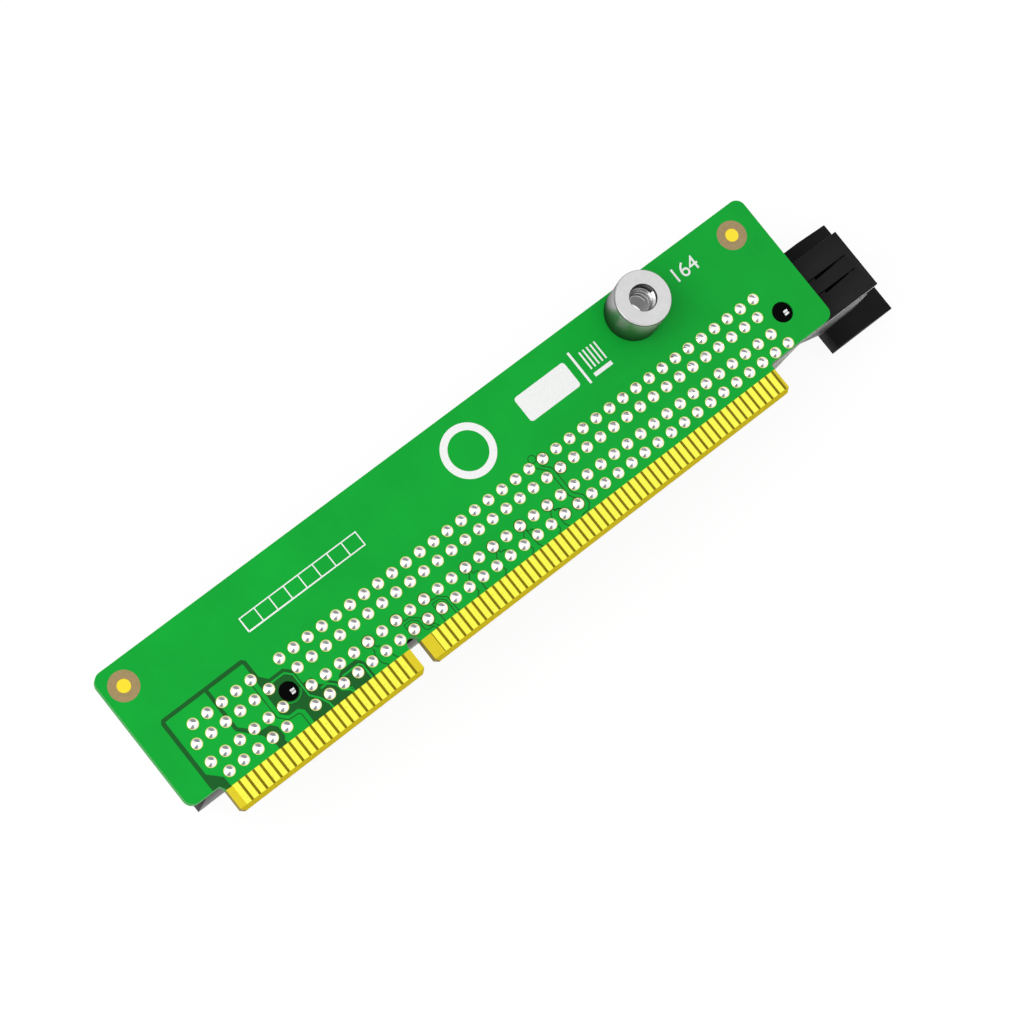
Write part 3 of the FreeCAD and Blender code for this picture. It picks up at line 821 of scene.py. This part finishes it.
def room():
    """White room: even light for matt surfaces, and three grey screens for metal to show."""
    world = bpy.data.worlds.new("room")
    bpy.context.scene.world = world
    world.use_nodes = True
    nodes, links = world.node_tree.nodes, world.node_tree.links
    nodes.clear()

    def number(operation, first, second):
        """One sum on numbers or sockets."""
        made = nodes.new("ShaderNodeMath")
        made.operation = operation
        for socket, value in zip(made.inputs, (first, second)):
            if isinstance(value, float):
                socket.default_value = value
            else:
                links.new(value, socket)
        return made.outputs[0]

    def background(strength):
        """White at a strength, from a number or a socket."""
        made = nodes.new("ShaderNodeBackground")
        made.inputs["Color"].default_value = (1, 1, 1, 1)
        if isinstance(strength, float):
            made.inputs["Strength"].default_value = strength
        else:
            links.new(strength, made.inputs["Strength"])
        return made.outputs[0]

    def mix(share, first, second):
        """Two backgrounds shared by a socket."""
        made = nodes.new("ShaderNodeMixShader")
        for socket, value in zip(made.inputs, (share, first, second)):
            links.new(value, socket)
        return made.outputs[0]

    where = nodes.new("ShaderNodeTexCoord")
    split = nodes.new("ShaderNodeSeparateXYZ")
    links.new(where.outputs["Generated"], split.inputs[0])
    heading = number("ARCTAN2", split.outputs["Y"], split.outputs["X"])

    def screen(middle, half_width, height, half_height):
        """A grey oval with a soft rim: its heading and half width in degrees, its height as a sine."""
        turn = number("SUBTRACT", heading, math.radians(middle))
        aside = number("DIVIDE", turn, math.radians(half_width))
        above = number("DIVIDE", number("SUBTRACT", split.outputs["Z"], height), half_height)
        away = number("ADD", number("MULTIPLY", aside, aside), number("MULTIPLY", above, above))
        made = nodes.new("ShaderNodeMapRange")
        made.inputs["From Min"].default_value = 1.25
        made.inputs["From Max"].default_value = 0.6
        links.new(away, made.inputs["Value"])
        return made.outputs["Result"]

    right, left, low = [screen(*each) for each in SCREENS]
    screens = number("ADD", number("ADD", right, left), low)
    mirror = number("SUBTRACT", 1.0, number("MULTIPLY", screens, SCREEN_DARK))
    path = nodes.new("ShaderNodeLightPath")
    lit = mix(path.outputs["Is Glossy Ray"], background(EVEN_LIGHT), background(mirror))
    out = nodes.new("ShaderNodeOutputWorld")
    links.new(mix(path.outputs["Is Camera Ray"], lit, background(1.0)), out.inputs["Surface"])


def lamp(name, spot, size, power):
    """A square lamp turned to the middle of the card."""
    bpy.ops.object.light_add(type="AREA", location=spot)
    light = bpy.context.object
    light.name = name
    light.data.size = size
    light.data.energy = power
    light.rotation_euler = (-Vector(spot)).to_track_quat("-Z", "Y").to_euler()
    return light


def camera():
    """Long lens from above the solder face, turned so that the card runs up to the right."""
    bpy.ops.object.camera_add()
    eye = bpy.context.object
    eye.location = (-0.10678, -0.0304, SOLDER_FACE + 0.35257)
    eye.rotation_euler = [math.radians(turn) for turn in (13.535, -9.946, -39.101)]
    eye.data.sensor_width = 36
    eye.data.lens = 115.07
    eye.data.clip_start = 0.01
    bpy.context.scene.camera = eye


# ---- the card put together ----
def dress(piece, body, finish, replaces=()):
    """Gives a piece its finish and the body it rides on, and hides the nodes it stands for."""
    finish.on(piece)
    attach(piece, body)
    if replaces:
        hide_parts(*replaces)


def build():
    """Every piece with its finish, then the room round it."""
    nothing_selected()
    nodes = frame["nodes"]
    gold = plain_finish("edge_gold", "ffff48", "fdfa40", size_mm=0.5, roughness=0.3, metallic=0.2)
    mark_gold = plain_finish("mark_gold", "ffe61a", "fadf18", size_mm=0.5, roughness=0.35, metallic=0.2)
    land_gold = plain_finish("land_gold", "efe88c", "e2da74", size_mm=0.3, roughness=0.35, metallic=0.3)
    spring_gold = plain_finish("spring_gold", "e3c468", "cfae52", size_mm=0.4, roughness=0.28, metallic=1.0)
    solder = plain_finish("bright_solder", "fdfdfd", "f7f7f7", size_mm=0.3, roughness=0.16, metallic=1.0,
                          depth_mm=0.0002)
    black = plain_finish("black_moulding", "222222", "1f1f1f", size_mm=0.12, roughness=0.5,
                         depth_mm=0.0006, Specular_IOR_Level=0.04)
    lever_black = plain_finish("black_lever", "1f1f1f", "1c1c1c", size_mm=0.12, roughness=0.5,
                               depth_mm=0.0006, Specular_IOR_Level=0.02)
    # the long outer sides: a real sheen lobe, and a base colour lighter than the other black mouldings,
    # which is painted reflection
    flank_sheen_and_paint = plain_finish("flank_sheen_and_painted_light", "333234", "302f31", size_mm=0.12, roughness=0.36, depth_mm=0.0006,
                        Specular_IOR_Level=0.12, Sheen_Weight=1.0, Sheen_Roughness=0.15)
    # painted shade: the pegs are the housing's own plastic, painted near black where they sit down in their
    # holes
    peg_in_painted_shade = plain_finish("peg_in_painted_shade", "030303", "020202", size_mm=0.2, roughness=0.05, depth_mm=0.0,
                             Specular_IOR_Level=0.03)
    window_tan = plain_finish("bare_laminate", "a58c5a", "9c8352", size_mm=0.3, roughness=0.5)
    # painted shadow: dark olive for the strips beside the gold fingers
    finger_shadow_paint = plain_finish("laminate_in_shade", "8a7a08", "7f6e05", size_mm=0.3, roughness=0.6,
                             Specular_IOR_Level=0.1)
    bore = plain_finish("bore_in_shade", "5c5c5c", "525252", size_mm=0.3, roughness=0.3, metallic=1.0,
                        depth_mm=0.0003)
    crest = plain_finish("bright_thread", "dadada", "d2d2d2", size_mm=0.3, roughness=0.28, metallic=1.0,
                         depth_mm=0.0003)
    ink = plain_finish("white_ink", "ffffff", "f4f7f4", size_mm=0.2, roughness=0.55)
    dark_mask, dark = mask_finish("mask_on_laminate", "1f642a", "1c5b27")
    dark_mask.colour(dark)
    track_mask, pale = mask_finish("mask_on_track", "18b83e", "15ac38")
    track_mask.colour(pale)

    board_finish().on(nodes["circuit_board"])
    for name, node in nodes.items():
        if name.startswith("fingers"):
            gold.on(node)
        elif name == "aiming_marks":
            mark_gold.on(node)
        elif name.startswith("contacts"):
            spring_gold.on(node)

    dress(bare_fields(), "card", dark_mask)
    dress(tracks_in_bays(), "card", track_mask)
    dress(track_edges(), "card", dark_mask)
    dress(ink_marks(), "card", ink)
    dress(mark_windows(), "card", window_tan)
    # painted shadow beside the gold fingers
    dress(painted_finger_shadows(), "card", finger_shadow_paint)
    dress(solder_lands(), "card", land_gold)
    for side, letter in ((-1, "a"), (1, "b")):
        for row in ("inner", "outer"):
            joints = solder_joints(side, row, "joints_%s_%s" % (letter, row))
            dress(joints, "card", solder, ["solder_row_%s_%s" % (letter, row)])
    body, thread = threaded_standoff()
    dress(body, "card", turned_metal_finish(), ["standoff"])
    also(body, bore, in_bore)
    dress(thread, "card", crest)
    housing = contact_windows(eased_moulding("slot_housing", "card_slot_housing"))
    dress(housing, "card", black, ["slot_housing"])
    also(housing, flank_sheen_and_paint, on_flank)
    dress(peg_ends(), "card", peg_in_painted_shade)
    lever = eased_moulding("latch_lever", "card_latch")
    dress(lever, "latch", lever_black, ["latch_lever"])
    also(lever, flank_sheen_and_paint, on_flank)

    floor()
    room()
    lamp("key_panel", (-0.22, 0.05, 0.28), size=0.3, power=0.5)
    lamp("small_window", (0.45, -0.1, 0.5), size=0.04, power=1.6).visible_diffuse = False
    camera()
    bpy.context.scene.view_settings.view_transform = "Standard"


build()
